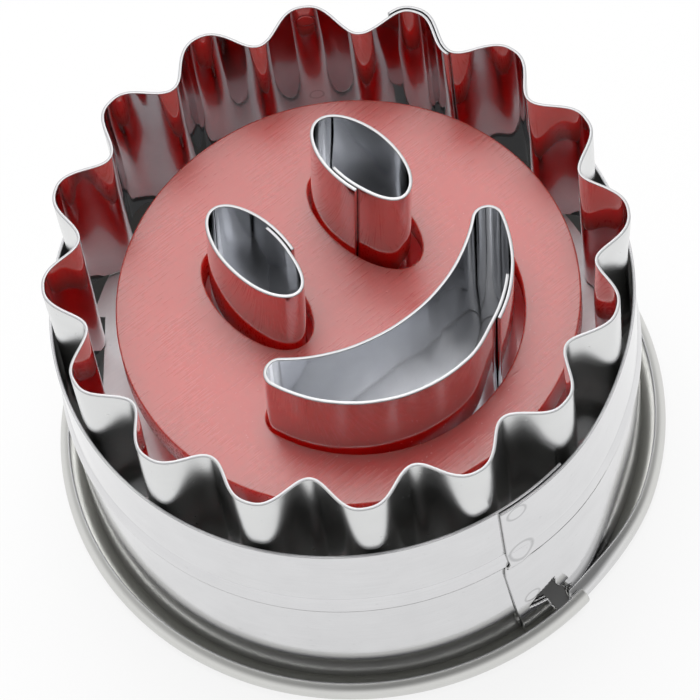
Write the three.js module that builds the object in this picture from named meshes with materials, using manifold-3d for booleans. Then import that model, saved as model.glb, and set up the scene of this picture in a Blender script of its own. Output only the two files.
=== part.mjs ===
// Plunger cookie cutter: a fluted cutting ring in a sleeve with a rolled rim, three motif cutters for a
// smiling face, and a plastic ejector plate that a sprung knob at the back pushes up to the edges.
// Millimetres. It stands on its rolled rim with the cutting edges up, +Z, and +Y runs from mouth to eyes.
import * as THREE from 'three';
import { mergeVertices } from 'three/addons/utils/BufferGeometryUtils.js';
import Module from 'manifold-3d';

const wasm = await Module();
wasm.setup();

const TAU = 2 * Math.PI;
const radians = THREE.MathUtils.degToRad;

// Clearances
const SEAT_GAP = 0.3;
const HOLE_CLEARANCE = 0.65;
const WELD_GAP = 0.2;
const LAP_GAP = 0.1;
const LAP_EASE = 2;

// Heights above the surface that the rim stands on
const CUTTING_HEIGHT = 31;
const FLUTE_BOTTOM = 13.8;
const SLEEVE_TOP = 23.4;
const PLATE_RECESS = 7.6;

// Fluted ring
const FLUTE_SHEET = 0.35;
const FLUTE_COUNT = 16;
const FLUTE_CREST_RADIUS = 24;
const FLUTE_DEPTH = 2.7;
const FLUTE_POWER = 1.33;
const FLUTE_PHASE = radians(11.6);
const FLUTE_LAP_START = radians(23);
const FLUTE_LAP = radians(16);
const FLUTE_STEPS = 10;

// Sleeve with its bead, rolled rim and lapped seam with a relief hole
const SLEEVE_SHEET = 0.25;
const BEAD_DEPTH = 0.2;
const BEAD_BOTTOM = 13.4;
const BEAD_HEIGHT = 2.15;
const BEAD_SKEW = 0.5;
const CURL_RADIUS = 1.15;
const CURL_TURN = radians(240);
const SEAM_INNER_END = radians(-82.4);
const SEAM_OUTER_END = radians(-97.9);
const SEAM_RAMP = radians(26);
const SEAM_SLIT = 0.3;
const RELIEF_RADIUS = 1.2;
const RELIEF_HEIGHT = 3;
const RELIEF_ANGLE = radians(-87);
const SLEEVE_STEPS = 64;
const BEAD_STEPS = 4;
const CURL_STEPS = 12;

// Motif cutters, by the outer face of each tube
const MOTIF_SHEET = 0.3;
const EYE_HALF_WIDTH = 2.65;
const EYE_HALF_LENGTH = 5.42;
const LEFT_EYE = new THREE.Vector2(-5.05, 4.5);
const RIGHT_EYE = new THREE.Vector2(6.37, 4.45);
const LEFT_EYE_TURN = radians(1.2);
const RIGHT_EYE_TURN = radians(4.1);
const RIGHT_EYE_RISE = 2;
const EYE_STEPS = 40;
const LEFT_EYE_LAP_START = radians(11);
const RIGHT_EYE_LAP_START = radians(169);
const EYE_LAP = radians(33);
const MOTIF_SHIFT = 0.45;
const MOUTH_MARGIN = 4.07;
const MOUTH_OUTER_RADIUS = 12.58;
const MOUTH_RISE = 9.31;
const MOUTH_INNER_RADIUS = 15.64;
const MOUTH_TIP_RADIUS = 1.12;
const MOUTH_LAP_START = 0.43;
const MOUTH_LAP = 0.07;
const MOUTH_STEPS = 116;

// Carrier plate that the motif cutters stand on, with welded tabs and a drawn guide collar
const CARRIER_SHEET = 0.6;
const CARRIER_EDGE_GAP = 1.6;
const COLLAR_LENGTH = 1.2;
const COLLAR_WALL = 0.4;
const TAB_COUNT = 3;
const TAB_PHASE = radians(60);
const TAB_WIDTH = 7;
const TAB_LENGTH = 4.3;
const TAB_ROOT = 1.2;
const NOTCH_PHASE = radians(140.4);
const NOTCH_WIDTH = 9;
const NOTCH_DEPTH = 1.5;

// Ejector plate with its stem and stop pegs
const PLATE_EDGE_GAP = 1.65;
const PLATE_THICKNESS = 3.1;
const STEM_RADIUS = 2.2;
const PEG_RADIUS = 1.8;
const PEG_INSET = 5.2;
const PEG_TIP_GAP = 3;
const BACK_PEG_ANGLE = radians(87);

// Push knob, its screw and the return spring
const KNOB_RADIUS = 11;
const KNOB_FOOT = 0.8;
const KNOB_WALL = 1.6;
const KNOB_WALL_HEIGHT = 4.2;
const KNOB_FLOOR = 0.7;
const KNOB_EDGE = 0.6;
const DISH_DEPTH = 0.9;
const DISH_STEPS = 5;
const HUB_RADIUS = 3;
const HUB_WEB = 1.1;
const SCREW_HEAD_RADIUS = 2.2;
const SCREW_HEAD_HEIGHT = 1.2;
const SCREW_SHANK_RADIUS = 0.95;
const SCREW_LENGTH = 8;
const WIRE = 0.7;
const SPRING_SIDE_GAP = 0.4;
const SPRING_TURNS = 4.5;
const SPRING_STEPS = 8;
const SPRING_SIDES = 5;
const SPRING_BEND = 0.8;
const BEND_STEPS = 3;

const ROUND_STEPS = 72;
const KNOB_STEPS = 48;
const SMALL_STEPS = 24;

// Places that follow from the sizes above
const sleeveInnerRadius = FLUTE_CREST_RADIUS + WELD_GAP;
const sleeveOuterRadius = sleeveInnerRadius + SLEEVE_SHEET;
const curlMiddle = sleeveInnerRadius + CURL_RADIUS;
const curlHeight = CURL_RADIUS * Math.cos(CURL_TURN / CURL_STEPS / 2);
const rimRadius = curlMiddle + CURL_RADIUS;
const carrierRadius = sleeveInnerRadius - CARRIER_EDGE_GAP;
const plateRadius = FLUTE_CREST_RADIUS - FLUTE_DEPTH - FLUTE_SHEET - PLATE_EDGE_GAP;
const mouthOuterY = MOUTH_OUTER_RADIUS + MOUTH_MARGIN - plateRadius;
const mouthInnerY = mouthOuterY + MOUTH_RISE;
const tipToOuter = MOUTH_OUTER_RADIUS - MOUTH_TIP_RADIUS;
const tipToInner = MOUTH_INNER_RADIUS + MOUTH_TIP_RADIUS;
const tipDrop = (MOUTH_RISE ** 2 + tipToOuter ** 2 - tipToInner ** 2) / (2 * MOUTH_RISE);
const tipSide = Math.sqrt(tipToOuter ** 2 - tipDrop ** 2);
const tipY = mouthOuterY + tipDrop;
const pegCircle = plateRadius - PEG_INSET;
const pegSpread = (MOUTH_TIP_RADIUS + PEG_TIP_GAP + PEG_RADIUS) / pegCircle;
const rightPegAngle = Math.atan2(tipY, MOTIF_SHIFT + tipSide) + pegSpread;
const leftPegAngle = Math.atan2(tipY, MOTIF_SHIFT - tipSide) - pegSpread;
const carrierTop = FLUTE_BOTTOM - SEAT_GAP;
const carrierBottom = carrierTop - CARRIER_SHEET;
const motifBottom = carrierTop + SEAT_GAP;
const rightEyeTop = CUTTING_HEIGHT + RIGHT_EYE_RISE;
const plateTop = CUTTING_HEIGHT - PLATE_RECESS;
const plateBottom = plateTop - PLATE_THICKNESS;
const dishTop = KNOB_FOOT + DISH_DEPTH;
const screwSeat = dishTop + SCREW_HEAD_HEIGHT;
const hubTop = screwSeat + HUB_WEB;
const stemBottom = hubTop + SEAT_GAP;
const guideRadius = STEM_RADIUS + SEAT_GAP;
const shankHoleRadius = SCREW_SHANK_RADIUS + SEAT_GAP;
const screwTop = screwSeat - SEAT_GAP + SCREW_LENGTH;
const pocketFloor = dishTop + KNOB_FLOOR;
const pocketRadius = KNOB_RADIUS - KNOB_WALL;
const springBottomRadius = pocketRadius - SPRING_SIDE_GAP - WIRE / 2;
const springTopRadius = guideRadius + COLLAR_WALL + SPRING_SIDE_GAP + WIRE / 2;

// Geometry helpers

/** Turns a geometry that is built around the Y axis upright. */
function upright(geometry) {
  return geometry.rotateX(Math.PI / 2);
}

/** Keeps only merged positions, which is what a boolean needs. */
function merged(geometry) {
  geometry.deleteAttribute('normal');
  geometry.deleteAttribute('uv');
  return mergeVertices(geometry, 1e-5);
}

function toSolid(geometry) {
  const bare = merged(geometry);
  const vertProperties = new Float32Array(bare.attributes.position.array);
  const triVerts = new Uint32Array(bare.index.array);
  return new wasm.Manifold(new wasm.Mesh({ numProp: 3, vertProperties, triVerts }));
}

function toGeometry(solid) {
  const mesh = solid.getMesh();
  const geometry = new THREE.BufferGeometry();
  geometry.setAttribute('position', new THREE.BufferAttribute(mesh.vertProperties, 3));
  geometry.setIndex(new THREE.BufferAttribute(mesh.triVerts, 1));
  return geometry;
}

/** Six times the volume inside a triangle list, negative where the faces point in. */
function signedVolume(points, faces) {
  let total = 0;
  for (let i = 0; i < faces.length; i += 3) {
    const across = new THREE.Vector3().crossVectors(points[faces[i + 1]], points[faces[i + 2]]);
    total += points[faces[i]].dot(across);
  }
  return total;
}

/** Closed skin through section loops of equal length, each end closed by rungs between the loop's halves. */
function loft(loops) {
  const size = loops[0].length;
  const last = (loops.length - 1) * size;
  const points = loops.flat();
  const faces = [];
  for (let i = 0; i < last; i += size) {
    for (let j = 0; j < size; j += 1) {
      const next = (j + 1) % size;
      faces.push(i + j, i + next, i + size + next);
      faces.push(i + j, i + size + next, i + size + j);
    }
  }
  for (let j = 0, k = size - 1; j + 1 < k; j += 1, k -= 1) {
    faces.push(j, k, j + 1, last + j, last + j + 1, last + k);
    if (j + 1 < k - 1) {
      faces.push(j + 1, k, k - 1, last + j + 1, last + k - 1, last + k);
    }
  }
  if (signedVolume(points, faces) < 0) {
    faces.reverse();
  }
  const geometry = new THREE.BufferGeometry().setFromPoints(points);
  geometry.setIndex(faces);
  return geometry;
}

/** Ring or disc turned about the vertical axis from a profile of (radius, height) points. */
function turned(profile, steps) {
  return upright(new THREE.LatheGeometry(profile, steps));
}

/** Ring from a profile that closes on itself and runs anticlockwise, seen with radius to the right. */
function turnedRing(profile, steps) {
  return turned([...profile, profile[0]], steps);
}

/** Upright round bar. */
function bar(radius, bottom, top, place = new THREE.Vector2()) {
  const geometry = upright(new THREE.CylinderGeometry(radius, radius, top - bottom, SMALL_STEPS));
  return geometry.translate(place.x, place.y, (top + bottom) / 2);
}

/** Flat plate of a given outline with holes. */
function plate(outline, holes, bottom, top) {
  const shape = new THREE.Shape(outline);
  shape.holes = holes.map((points) => new THREE.Path(points));
  const geometry = new THREE.ExtrudeGeometry(shape, { depth: top - bottom, bevelEnabled: false });
  return geometry.translate(0, 0, bottom);
}

/** Points once round a closed curve, without the repeated last one. */
function around(curve, steps) {
  return curve.getPoints(steps).slice(0, steps);
}

function circle(radius, steps = ROUND_STEPS, x = 0) {
  return around(new THREE.EllipseCurve(x, 0, radius, radius), steps);
}

// Outlines of the cutters, each anticlockwise along the outer face

/** Wave round the ring: broad crests and narrow troughs, from a raised cosine to a power above one. */
class FluteOutline extends THREE.Curve {
  getPoint(t, target = new THREE.Vector2()) {
    const angle = TAU * t;
    const dip = (1 - Math.cos(FLUTE_COUNT * (angle - FLUTE_PHASE))) / 2;
    const radius = FLUTE_CREST_RADIUS - FLUTE_DEPTH * dip ** FLUTE_POWER;
    return target.set(radius * Math.cos(angle), radius * Math.sin(angle));
  }
}

function eyeOutline(centre, turn, grow) {
  const halfWidth = EYE_HALF_WIDTH + grow;
  const halfLength = EYE_HALF_LENGTH + grow;
  return new THREE.EllipseCurve(centre.x, centre.y, halfWidth, halfLength, 0, TAU, false, turn);
}

/** Crescent between two arcs. Its round tips touch the outer arc from inside, the inner from outside. */
function mouthOutline(grow) {
  const outer = MOUTH_OUTER_RADIUS + grow;
  const inner = MOUTH_INNER_RADIUS - grow;
  const tip = MOUTH_TIP_RADIUS + grow;
  const outerEnd = Math.atan2(tipDrop, tipSide);
  const innerEnd = Math.atan2(tipY - mouthInnerY, tipSide);
  const arc = (x, y, radius, start, end, clockwise) =>
    new THREE.EllipseCurve(MOTIF_SHIFT + x, y, radius, radius, start, end, clockwise);
  const path = new THREE.CurvePath();
  path.add(arc(0, mouthOuterY, outer, Math.PI - outerEnd, TAU + outerEnd, false));
  path.add(arc(tipSide, tipY, tip, outerEnd, Math.PI + innerEnd, false));
  path.add(arc(0, mouthInnerY, inner, innerEnd, -Math.PI - innerEnd, true));
  path.add(arc(-tipSide, tipY, tip, -innerEnd, Math.PI - outerEnd, false));
  return path;
}

/**
 * Upright sheet bent along a closed outline with its ends lapped. It starts under the lap, set in by a
 * sheet and the lap's gap, eases out to the outline past the lap, and ends on the outline over its start.
 * `turn` is 1 for an anticlockwise run and -1 for a clockwise one.
 */
function lappedSheet({ outline, start, lap, turn, steps, sheet, bottom, top }) {
  const run = 1 + lap;
  const count = Math.round(steps * run);
  const ease = LAP_EASE / outline.getLength();
  const loops = [];
  for (let i = 0; i <= count; i += 1) {
    const along = run * i / count;
    const t = THREE.MathUtils.euclideanModulo(start + turn * along, 1);
    const tangent = outline.getTangent(t);
    const outward = new THREE.Vector2(tangent.y, -tangent.x);
    const under = 1 - THREE.MathUtils.smoothstep(along, lap, lap + ease);
    const face = outline.getPoint(t).addScaledVector(outward, -under * (sheet + LAP_GAP));
    const back = face.clone().addScaledVector(outward, -sheet);
    loops.push([
      new THREE.Vector3(face.x, face.y, bottom),
      new THREE.Vector3(face.x, face.y, top),
      new THREE.Vector3(back.x, back.y, top),
      new THREE.Vector3(back.x, back.y, bottom),
    ]);
  }
  return loft(loops);
}

// Pieces of the fixed cutter body

/** One face of the sleeve's wall as (radius, height) points. Its bead steps out below and eases in above. */
function wallFace(radius, bottom) {
  const face = [];
  for (let step = 0; step <= BEAD_STEPS; step += 1) {
    const share = step / BEAD_STEPS;
    const bulge = BEAD_DEPTH * Math.sin(Math.PI * share ** BEAD_SKEW);
    face.push(new THREE.Vector2(radius + bulge, BEAD_BOTTOM + BEAD_HEIGHT * share));
  }
  return [new THREE.Vector2(radius, bottom), ...face, new THREE.Vector2(radius, SLEEVE_TOP)];
}

/** Wall, bead and curled rim as one profile, from the inside top round to the outside top. */
function sleeveProfile() {
  const curl = (radius) => {
    const end = Math.PI + CURL_TURN;
    const arc = new THREE.EllipseCurve(curlMiddle, curlHeight, radius, radius, Math.PI, end);
    return arc.getPoints(CURL_STEPS);
  };
  const inside = wallFace(sleeveInnerRadius, curlHeight).slice(1).reverse();
  const outside = wallFace(sleeveOuterRadius, curlHeight).slice(1);
  return [...inside, ...curl(CURL_RADIUS), ...curl(CURL_RADIUS - SLEEVE_SHEET).reverse(), ...outside];
}

/** Outer flap of the seam: it leaves the wall on a ramp and ends free, over the wall's other end. */
function seamFlap() {
  const from = SEAM_INNER_END + SEAM_RAMP;
  const stepAngle = TAU / SLEEVE_STEPS / 2;
  const count = Math.ceil((from - SEAM_OUTER_END) / stepAngle);
  const sunk = SLEEVE_SHEET / 2;
  const flapBottom = curlHeight + SEAT_GAP;
  const loops = [];
  for (let i = 0; i <= count; i += 1) {
    const angle = from + (SEAM_OUTER_END - from) * i / count;
    const rise = THREE.MathUtils.smoothstep(-angle, -from, -SEAM_INNER_END);
    const outer = sleeveOuterRadius - sunk + rise * (sunk + LAP_GAP + SLEEVE_SHEET);
    const inner = outer - SLEEVE_SHEET + (1 - rise) * sunk;
    const section = [...wallFace(outer, flapBottom), ...wallFace(inner, flapBottom).reverse()];
    loops.push(section.map(({ x, y }) => new THREE.Vector3(x * Math.cos(angle), x * Math.sin(angle), y)));
  }
  return loft(loops);
}

/** Round relief hole through wall and flap at the foot of the seam, where the rim's curl starts. */
function seamRelief() {
  const length = 2 * (SLEEVE_SHEET + SEAT_GAP) + LAP_GAP;
  const relief = new THREE.CylinderGeometry(RELIEF_RADIUS, RELIEF_RADIUS, length, SMALL_STEPS);
  relief.translate(0, sleeveInnerRadius - SEAT_GAP + length / 2, RELIEF_HEIGHT);
  return relief.rotateZ(RELIEF_ANGLE - Math.PI / 2);
}

function outerSleeve() {
  const slitHeight = CUTTING_HEIGHT;
  const slit = new THREE.BoxGeometry(rimRadius, SEAM_SLIT, slitHeight);
  slit.translate(rimRadius / 2 + sleeveInnerRadius - SEAT_GAP, 0, slitHeight / 2 - SEAT_GAP);
  slit.rotateZ(SEAM_INNER_END);
  const ring = toSolid(turnedRing(sleeveProfile(), SLEEVE_STEPS)).subtract(toSolid(slit));
  return toGeometry(ring.add(toSolid(seamFlap())).subtract(toSolid(seamRelief())));
}

function flutedCutter() {
  return lappedSheet({
    outline: new FluteOutline(),
    start: FLUTE_LAP_START / TAU,
    lap: FLUTE_LAP / TAU,
    turn: 1,
    steps: FLUTE_COUNT * FLUTE_STEPS,
    sheet: FLUTE_SHEET,
    bottom: FLUTE_BOTTOM,
    top: CUTTING_HEIGHT,
  });
}

function eyeCutter(outline, lapStart, turn, top) {
  return lappedSheet({
    outline,
    start: lapStart / TAU,
    lap: EYE_LAP / TAU,
    turn,
    steps: EYE_STEPS,
    sheet: MOTIF_SHEET,
    bottom: motifBottom,
    top,
  });
}

function mouthCutter() {
  return lappedSheet({
    outline: mouthOutline(0),
    start: MOUTH_LAP_START,
    lap: MOUTH_LAP,
    turn: -1,
    steps: MOUTH_STEPS,
    sheet: MOTIF_SHEET,
    bottom: motifBottom,
    top: CUTTING_HEIGHT,
  });
}

/** The motif's three outlines as hole points, grown all round by a margin. */
function motifHoles(grow) {
  return [
    around(eyeOutline(LEFT_EYE, LEFT_EYE_TURN, grow), EYE_STEPS),
    around(eyeOutline(RIGHT_EYE, RIGHT_EYE_TURN, grow), EYE_STEPS),
    mouthOutline(grow).getSpacedPoints(MOUTH_STEPS / 2).slice(0, -1),
  ];
}

/** Tab bent down from the carrier's edge, against the sleeve's wall. */
function carrierTab(angle) {
  const reach = Math.sqrt((sleeveInnerRadius - SEAT_GAP) ** 2 - (TAB_WIDTH / 2) ** 2);
  const root = carrierRadius - TAB_ROOT;
  const tabBottom = carrierTop - TAB_LENGTH;
  const section = new THREE.Shape([
    new THREE.Vector2(root, carrierBottom),
    new THREE.Vector2(reach - CARRIER_SHEET, carrierBottom),
    new THREE.Vector2(reach - CARRIER_SHEET, tabBottom),
    new THREE.Vector2(reach, tabBottom),
    new THREE.Vector2(reach, carrierTop),
    new THREE.Vector2(root, carrierTop),
  ]);
  const geometry = new THREE.ExtrudeGeometry(section, { depth: TAB_WIDTH, bevelEnabled: false });
  return upright(geometry.translate(0, 0, -TAB_WIDTH / 2)).rotateZ(angle);
}

/** Disc that closes the cutters below, with drain notches, welded tabs and a drawn collar for the stem. */
function carrierPlate() {
  const hole = circle(guideRadius, SMALL_STEPS);
  let solid = toSolid(plate(circle(carrierRadius), [hole], carrierBottom, carrierTop));
  const collar = [
    new THREE.Vector2(guideRadius, carrierBottom - COLLAR_LENGTH),
    new THREE.Vector2(guideRadius + COLLAR_WALL, carrierBottom - COLLAR_LENGTH),
    new THREE.Vector2(guideRadius + COLLAR_WALL, carrierTop),
    new THREE.Vector2(guideRadius, carrierTop),
  ];
  solid = solid.add(toSolid(turnedRing(collar, SMALL_STEPS)));
  for (let i = 0; i < TAB_COUNT; i += 1) {
    const turn = TAU * i / TAB_COUNT;
    const notch = new THREE.BoxGeometry(2 * NOTCH_DEPTH, NOTCH_WIDTH, CUTTING_HEIGHT);
    notch.translate(carrierRadius, 0, CUTTING_HEIGHT / 2).rotateZ(NOTCH_PHASE + turn);
    solid = solid.subtract(toSolid(notch)).add(toSolid(carrierTab(TAB_PHASE + turn)));
  }
  return toGeometry(solid);
}

// Pieces of the plunger

/** Plate round the motif, centred on it. Its pegs stop it on the carrier and its stem meets the knob. */
function ejectorPlate() {
  const disc = circle(plateRadius, ROUND_STEPS, MOTIF_SHIFT);
  let solid = toSolid(plate(disc, motifHoles(HOLE_CLEARANCE), plateBottom, plateTop));
  const sunk = PLATE_THICKNESS / 2;
  for (const angle of [rightPegAngle, BACK_PEG_ANGLE, leftPegAngle]) {
    const place = new THREE.Vector2(pegCircle, 0).rotateAround(new THREE.Vector2(), angle);
    solid = solid.add(toSolid(bar(PEG_RADIUS, carrierTop + SEAT_GAP, plateBottom + sunk, place)));
  }
  solid = solid.add(toSolid(bar(STEM_RADIUS, stemBottom, plateBottom + sunk)));
  const pilot = bar(shankHoleRadius, stemBottom - SEAT_GAP, screwTop + SEAT_GAP);
  return toGeometry(solid.subtract(toSolid(pilot)));
}

/** Round button with a thumb dish below, a pocket for the spring above and a hub that meets the stem. */
function pushKnob() {
  const headHole = SCREW_HEAD_RADIUS + SEAT_GAP;
  const dishHeight = (radius) => KNOB_FOOT + DISH_DEPTH * (1 - (radius / pocketRadius) ** 2);
  const profile = [new THREE.Vector2(headHole, screwSeat)];
  for (let i = 0; i <= DISH_STEPS; i += 1) {
    const radius = headHole + (pocketRadius - headHole) * i / DISH_STEPS;
    profile.push(new THREE.Vector2(radius, dishHeight(radius)));
  }
  profile.push(
    new THREE.Vector2(KNOB_RADIUS - KNOB_EDGE, KNOB_FOOT),
    new THREE.Vector2(KNOB_RADIUS, KNOB_FOOT + KNOB_EDGE),
    new THREE.Vector2(KNOB_RADIUS, KNOB_FOOT + KNOB_WALL_HEIGHT),
    new THREE.Vector2(pocketRadius, KNOB_FOOT + KNOB_WALL_HEIGHT),
    new THREE.Vector2(pocketRadius, pocketFloor),
    new THREE.Vector2(HUB_RADIUS, pocketFloor),
    new THREE.Vector2(HUB_RADIUS, hubTop),
    new THREE.Vector2(shankHoleRadius, hubTop),
    new THREE.Vector2(shankHoleRadius, screwSeat),
  );
  return turnedRing(profile, KNOB_STEPS);
}

/** Pan head screw that holds the knob to the stem. */
function knobScrew() {
  const headTop = screwSeat - SEAT_GAP;
  const headBottom = headTop - SCREW_HEAD_HEIGHT;
  const crown = SCREW_HEAD_HEIGHT / 2;
  const profile = [
    new THREE.Vector2(0, headBottom),
    new THREE.Vector2(SCREW_HEAD_RADIUS - crown, headBottom),
    new THREE.Vector2(SCREW_HEAD_RADIUS, headBottom + crown),
    new THREE.Vector2(SCREW_HEAD_RADIUS, headTop),
    new THREE.Vector2(SCREW_SHANK_RADIUS, headTop),
    new THREE.Vector2(SCREW_SHANK_RADIUS, screwTop - SCREW_SHANK_RADIUS),
    new THREE.Vector2(0, screwTop),
  ];
  return turned(profile, SMALL_STEPS);
}

/** Centre line of the conical spring: a stub, a bend, the rising helix, a bend and a stub. */
function springPath() {
  const bottom = pocketFloor + SEAT_GAP;
  const top = carrierBottom - SEAT_GAP;
  const low = bottom + WIRE + SPRING_BEND;
  const high = top - WIRE - SPRING_BEND;
  const count = SPRING_TURNS * SPRING_STEPS;
  const helix = [];
  for (let i = 0; i <= count; i += 1) {
    const share = i / count;
    const angle = TAU * SPRING_TURNS * share;
    const radius = THREE.MathUtils.lerp(springBottomRadius, springTopRadius, share);
    const height = THREE.MathUtils.lerp(low, high, share);
    helix.push(new THREE.Vector3(radius * Math.cos(angle), radius * Math.sin(angle), height));
  }
  const bend = (from, next, end) => {
    const along = new THREE.Vector3().subVectors(from, next).setZ(0).setLength(SPRING_BEND);
    const side = Math.sign(end - from.z);
    const points = [];
    for (let i = 1; i <= BEND_STEPS; i += 1) {
      const angle = Math.PI / 2 * i / BEND_STEPS;
      const point = from.clone().addScaledVector(along, Math.sin(angle));
      point.z += side * SPRING_BEND * (1 - Math.cos(angle));
      points.push(point);
    }
    points.push(points.at(-1).clone().setZ(end));
    return points;
  };
  const start = bend(helix[0], helix[1], bottom).reverse();
  const finish = bend(helix.at(-1), helix.at(-2), top);
  return [...start, ...helix, ...finish];
}

/** Least free distance between turns of the wire, measured on points set close along its centre line. */
function leastGap(path) {
  const line = new THREE.CurvePath();
  for (let i = 0; i + 1 < path.length; i += 1) {
    line.add(new THREE.LineCurve3(path[i], path[i + 1]));
  }
  const count = Math.round(line.getLength() / (WIRE / 2));
  const points = line.getSpacedPoints(count);
  const near = Math.round(TAU * springTopRadius / 2 / (WIRE / 2));
  let least = Infinity;
  for (let i = 0; i < points.length; i += 1) {
    for (let j = i + near; j < points.length; j += 1) {
      least = Math.min(least, points[i].distanceTo(points[j]));
    }
  }
  return least - WIRE;
}

/** Round wire along the path, its sides carried from step to step without twist. */
function returnSpring() {
  const path = springPath();
  console.log(`return_spring least gap to itself ${leastGap(path).toFixed(2)} mm`);
  const direction = (i) => {
    const before = path[Math.max(i - 1, 0)];
    const after = path[Math.min(i + 1, path.length - 1)];
    return new THREE.Vector3().subVectors(after, before).normalize();
  };
  const side = new THREE.Vector3(1, 0, 0);
  const loops = path.map((point, i) => {
    const forward = direction(i);
    side.addScaledVector(forward, -side.dot(forward)).normalize();
    const other = new THREE.Vector3().crossVectors(forward, side);
    return Array.from({ length: SPRING_SIDES }, (_, corner) => {
      const angle = TAU * corner / SPRING_SIDES;
      const offset = side.clone().multiplyScalar(Math.cos(angle)).addScaledVector(other, Math.sin(angle));
      return point.clone().addScaledVector(offset, WIRE / 2);
    });
  });
  return loft(loops);
}

// Materials and assembly

function finish(color, roughness, metalness) {
  return new THREE.MeshStandardMaterial({ color, roughness, metalness });
}

const polishedSheet = finish(0xc9cbce, 0.16, 1);
const satinSheet = finish(0xc4c5c7, 0.28, 1);
const redPlastic = finish(0xb9302e, 0.5, 0);
const springSteel = finish(0x9a9ca0, 0.3, 1);

function piece(name, geometry, material) {
  const mesh = new THREE.Mesh(merged(geometry), material);
  mesh.name = name;
  return mesh;
}

const leftEye = eyeOutline(LEFT_EYE, LEFT_EYE_TURN, 0);
const rightEye = eyeOutline(RIGHT_EYE, RIGHT_EYE_TURN, 0);

const cutterBody = new THREE.Group();
cutterBody.add(
  piece('outer_sleeve', outerSleeve(), satinSheet),
  piece('fluted_cutter', flutedCutter(), polishedSheet),
  piece('left_eye_cutter', eyeCutter(leftEye, LEFT_EYE_LAP_START, -1, CUTTING_HEIGHT), polishedSheet),
  piece('right_eye_cutter', eyeCutter(rightEye, RIGHT_EYE_LAP_START, 1, rightEyeTop), polishedSheet),
  piece('mouth_cutter', mouthCutter(), polishedSheet),
  piece('carrier_plate', carrierPlate(), satinSheet),
);

const plunger = new THREE.Group();
plunger.add(
  piece('ejector_plate', ejectorPlate(), redPlastic),
  piece('push_knob', pushKnob(), redPlastic),
  piece('knob_screw', knobScrew(), springSteel),
);

const cookieCutter = new THREE.Group();
cookieCutter.add(cutterBody, plunger, piece('return_spring', returnSpring(), springSteel));

export default cookieCutter;
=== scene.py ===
# %% [markdown]
# # A plunger cookie cutter, dressed for its picture
#
# The cutter stands on its rolled rim with the cutting edges up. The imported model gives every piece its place
# and its motion. This file makes the finer surfaces that the picture shows: thin bent sheets with lapped
# joints and rounded cut edges, a red moulded plate, and the small parts at the back.
#
# A finished piece could be modelled by hand, but a sheet that was bent along an outline is best written as a
# formula. So each piece here is a grid of points from numpy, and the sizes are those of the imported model.

# %% Load the fixed frame
import math

import bpy
import numpy as np
from mathutils import Matrix, Vector
from mathutils.geometry import tessellate_polygon


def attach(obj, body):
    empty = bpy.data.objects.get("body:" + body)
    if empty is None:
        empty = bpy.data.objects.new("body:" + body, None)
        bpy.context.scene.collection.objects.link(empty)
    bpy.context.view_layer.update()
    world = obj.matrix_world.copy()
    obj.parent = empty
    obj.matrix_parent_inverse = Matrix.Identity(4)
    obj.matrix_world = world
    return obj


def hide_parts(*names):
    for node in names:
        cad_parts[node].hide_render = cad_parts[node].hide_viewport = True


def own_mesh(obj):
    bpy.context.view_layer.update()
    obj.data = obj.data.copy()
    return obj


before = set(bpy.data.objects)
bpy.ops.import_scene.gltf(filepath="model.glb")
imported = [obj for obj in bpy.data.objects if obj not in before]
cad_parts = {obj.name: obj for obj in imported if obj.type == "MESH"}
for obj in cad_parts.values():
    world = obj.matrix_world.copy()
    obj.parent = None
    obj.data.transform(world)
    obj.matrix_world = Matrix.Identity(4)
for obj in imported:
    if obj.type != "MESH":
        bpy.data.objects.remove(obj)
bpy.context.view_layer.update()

MM = 0.001

# %% [markdown]
# ## Camera
#
# The picture looks down at about 59 degrees from the front left, from far away with a long lens, and it is
# tilted a little. A target constraint could aim the camera, but a matrix from three axes also holds the tilt,
# so the camera's right, up and back axes are worked out and written into its matrix.

# %% Camera
CAMERA_PLACE = Vector((-99.36, -162.14, 348.40)) * MM
CAMERA_AIM = Vector((-5.03, -8.21, 31.0)) * MM
CAMERA_TILT = math.radians(-9.265)

forward = (CAMERA_AIM - CAMERA_PLACE).normalized()
level_right = forward.cross(Vector((0, 0, 1))).normalized()
level_up = level_right.cross(forward)
camera_right = math.cos(CAMERA_TILT) * level_right + math.sin(CAMERA_TILT) * level_up
camera_up = math.cos(CAMERA_TILT) * level_up - math.sin(CAMERA_TILT) * level_right

camera_data = bpy.data.cameras.new("picture_camera")
camera_data.sensor_width = 36
camera_data.lens = 233.03
camera_data.clip_start = 0.01
camera = bpy.data.objects.new("picture_camera", camera_data)
bpy.context.scene.collection.objects.link(camera)
turn = Matrix((camera_right, camera_up, -forward)).transposed()
camera.matrix_world = Matrix.Translation(CAMERA_PLACE) @ turn.to_4x4()
bpy.context.scene.camera = camera
print("camera looks along", [round(x, 3) for x in forward])

# %% [markdown]
# ## Studio
#
# The picture was taken on white with a large soft light beyond the object, a smaller one above it and a weak
# fill. Steel shows little more than its surroundings, so where the lights stand and how large they are matters
# more than their power. A lit tent could be modelled, but two area lamps and a plain world are enough. In
# reflections the world is white at the horizon and falls to a grey ceiling, darker on the camera's side.

# %% Soft light and world
bpy.context.scene.view_settings.view_transform = "Standard"


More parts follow.
